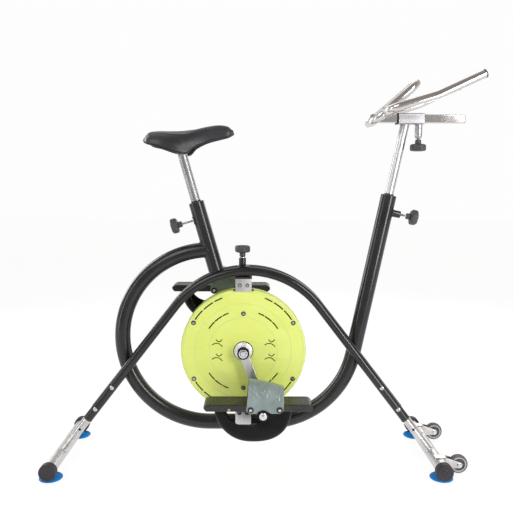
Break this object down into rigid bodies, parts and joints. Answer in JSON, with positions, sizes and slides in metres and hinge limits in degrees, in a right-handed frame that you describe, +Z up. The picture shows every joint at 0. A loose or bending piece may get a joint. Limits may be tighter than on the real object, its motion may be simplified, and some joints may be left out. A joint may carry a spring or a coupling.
{
  "type": "underwater exercise bike",
  "caption": "Exercise bike for use in a pool: round tube frame, slotted disc resistance unit, strapped foot pedals, sliding handlebar, adjustable saddle, suction feet and transport wheels.",
  "frame": {"origin": "on the floor, under the middle of the bike's bounding box", "axes": "+X forwards from the saddle to the handlebar, +Y to the rider's left, +Z up"},
  "size_m": [1.3079, 0.394, 1.2068],
  "materials": {
    "black_coat": "satin powder coat",
    "stainless_steel": "brushed",
    "polished_steel": "polished",
    "bright_steel": "polished",
    "cover_green": "soft gloss",
    "charcoal_plastic": "moulded",
    "black_plastic": "moulded",
    "cap_rubber": "matte",
    "foot_rubber": "soft gloss",
    "strap_rubber": "translucent gloss",
    "wheel_tyre": "matte",
    "saddle_vinyl": "satin vinyl",
    "brake_lining": "matte"
  },
  "bodies": {
    "frame": {"main_tube": "black_coat", "seat_tube": "black_coat", "adjuster_boss": "black_coat", "top_bracket": "stainless_steel", "bottom_bracket": "stainless_steel", "rear_base_tube": "stainless_steel", "front_base_tube": "stainless_steel", "seat_bush": "charcoal_plastic", "column_bush": "charcoal_plastic", "right_arch": "black_coat", "right_front_leg": "stainless_steel", "right_rear_leg": "stainless_steel", "right_front_cap": "cap_rubber", "right_rear_cap": "cap_rubber", "right_front_foot": "foot_rubber", "right_rear_foot": "foot_rubber", "right_wheel_fork": "stainless_steel", "right_wheel_bolt": "bright_steel", "right_cover": "cover_green", "right_hub_ring": "stainless_steel", "right_bearing": "bright_steel", "left_arch": "black_coat", "left_front_leg": "stainless_steel", "left_rear_leg": "stainless_steel", "left_front_cap": "cap_rubber", "left_rear_cap": "cap_rubber", "left_front_foot": "foot_rubber", "left_rear_foot": "foot_rubber", "left_wheel_fork": "stainless_steel", "left_wheel_bolt": "bright_steel", "left_cover": "cover_green", "left_hub_ring": "stainless_steel", "left_bearing": "bright_steel"},
    "crankset": {"axle": "stainless_steel", "rotor": "black_plastic", "right_crank": "stainless_steel", "right_crank_bolt": "bright_steel", "right_pedal_spindle": "bright_steel", "left_crank": "stainless_steel", "left_crank_bolt": "bright_steel", "left_pedal_spindle": "bright_steel"},
    "right_foot_rest": {"right_pedal": "charcoal_plastic", "right_pedal_basket": "black_plastic", "right_pedal_strap": "strap_rubber"},
    "left_foot_rest": {"left_pedal": "charcoal_plastic", "left_pedal_basket": "black_plastic", "left_pedal_strap": "strap_rubber"},
    "right_transport_wheel": {"right_wheel": "wheel_tyre"},
    "left_transport_wheel": {"left_wheel": "wheel_tyre"},
    "resistance_adjuster": {"resistance_knob": "charcoal_plastic"},
    "brake": {"brake_pad": "brake_lining"},
    "seat_stem": {"seat_post": "stainless_steel"},
    "seat": {"seat_clamp": "black_plastic", "saddle": "saddle_vinyl"},
    "seat_clamp_knob": {"seat_knob": "charcoal_plastic"},
    "bar_stem": {"handlebar_post": "stainless_steel", "slider_bush": "black_plastic"},
    "bar": {"handlebar": "polished_steel"},
    "bar_clamp_knob": {"slide_knob": "charcoal_plastic"},
    "column_clamp_knob": {"column_knob": "charcoal_plastic"}
  },
  "joints": [
    {"name": "crank_turn", "type": "hinge", "parent": "frame", "child": "crankset", "pos_m": [-0.04585, 0, 0.353], "axis": [0, 1, 0], "continuous": true},
    {"name": "right_pedal_turn", "type": "hinge", "parent": "crankset", "child": "right_foot_rest", "pos_m": [0.01466, -0.118, 0.19413], "axis": [0, 1, 0], "continuous": true},
    {"name": "left_pedal_turn", "type": "hinge", "parent": "crankset", "child": "left_foot_rest", "pos_m": [-0.10636, 0.118, 0.51187], "axis": [0, 1, 0], "continuous": true},
    {"name": "right_wheel_roll", "type": "hinge", "parent": "frame", "child": "right_transport_wheel", "pos_m": [0.61355, -0.125, 0.0295], "axis": [0, 1, 0], "continuous": true},
    {"name": "left_wheel_roll", "type": "hinge", "parent": "frame", "child": "left_transport_wheel", "pos_m": [0.61355, 0.125, 0.0295], "axis": [0, 1, 0], "continuous": true},
    {"name": "resistance_turn", "type": "hinge", "parent": "frame", "child": "resistance_adjuster", "pos_m": [-0.04935, 0, 0.6], "axis": [0, 0, -1], "range_deg": [0, 1080]},
    {"name": "brake_press", "type": "slide", "parent": "frame", "child": "brake", "axis": [0, 0, -1], "range_m": [0, 0.0045]},
    {"name": "seat_height", "type": "slide", "parent": "frame", "child": "seat_stem", "axis": [-0.2765, 0, 0.961], "range_m": [-0.1, 0.065]},
    {"name": "seat_tilt", "type": "hinge", "parent": "seat_stem", "child": "seat", "pos_m": [-0.23772, 0, 0.97394], "axis": [0, 1, 0], "range_deg": [-15, 15]},
    {"name": "seat_knob_turn", "type": "hinge", "parent": "frame", "child": "seat_clamp_knob", "pos_m": [-0.17904, 0, 0.77], "axis": [-0.961, 0, -0.2765], "range_deg": [0, 720]},
    {"name": "bar_height", "type": "slide", "parent": "frame", "child": "bar_stem", "axis": [0.1961, 0, 0.9806], "range_m": [-0.14, 0.11]},
    {"name": "bar_reach", "type": "slide", "parent": "bar_stem", "child": "bar", "axis": [1, 0, 0], "range_m": [-0.11, 0.035]},
    {"name": "bar_knob_turn", "type": "hinge", "parent": "bar_stem", "child": "bar_clamp_knob", "pos_m": [0.49168, 0, 1.0785], "axis": [0, 0, -1], "range_deg": [0, 720]},
    {"name": "column_knob_turn", "type": "hinge", "parent": "frame", "child": "column_clamp_knob", "pos_m": [0.39568, 0, 0.794], "axis": [0.9806, 0, -0.1961], "range_deg": [0, 720]}
  ],
  "couplings": [
    {"joint": "brake_press", "follows": "resistance_turn", "m_per_rad": 0.0002387}
  ]
}
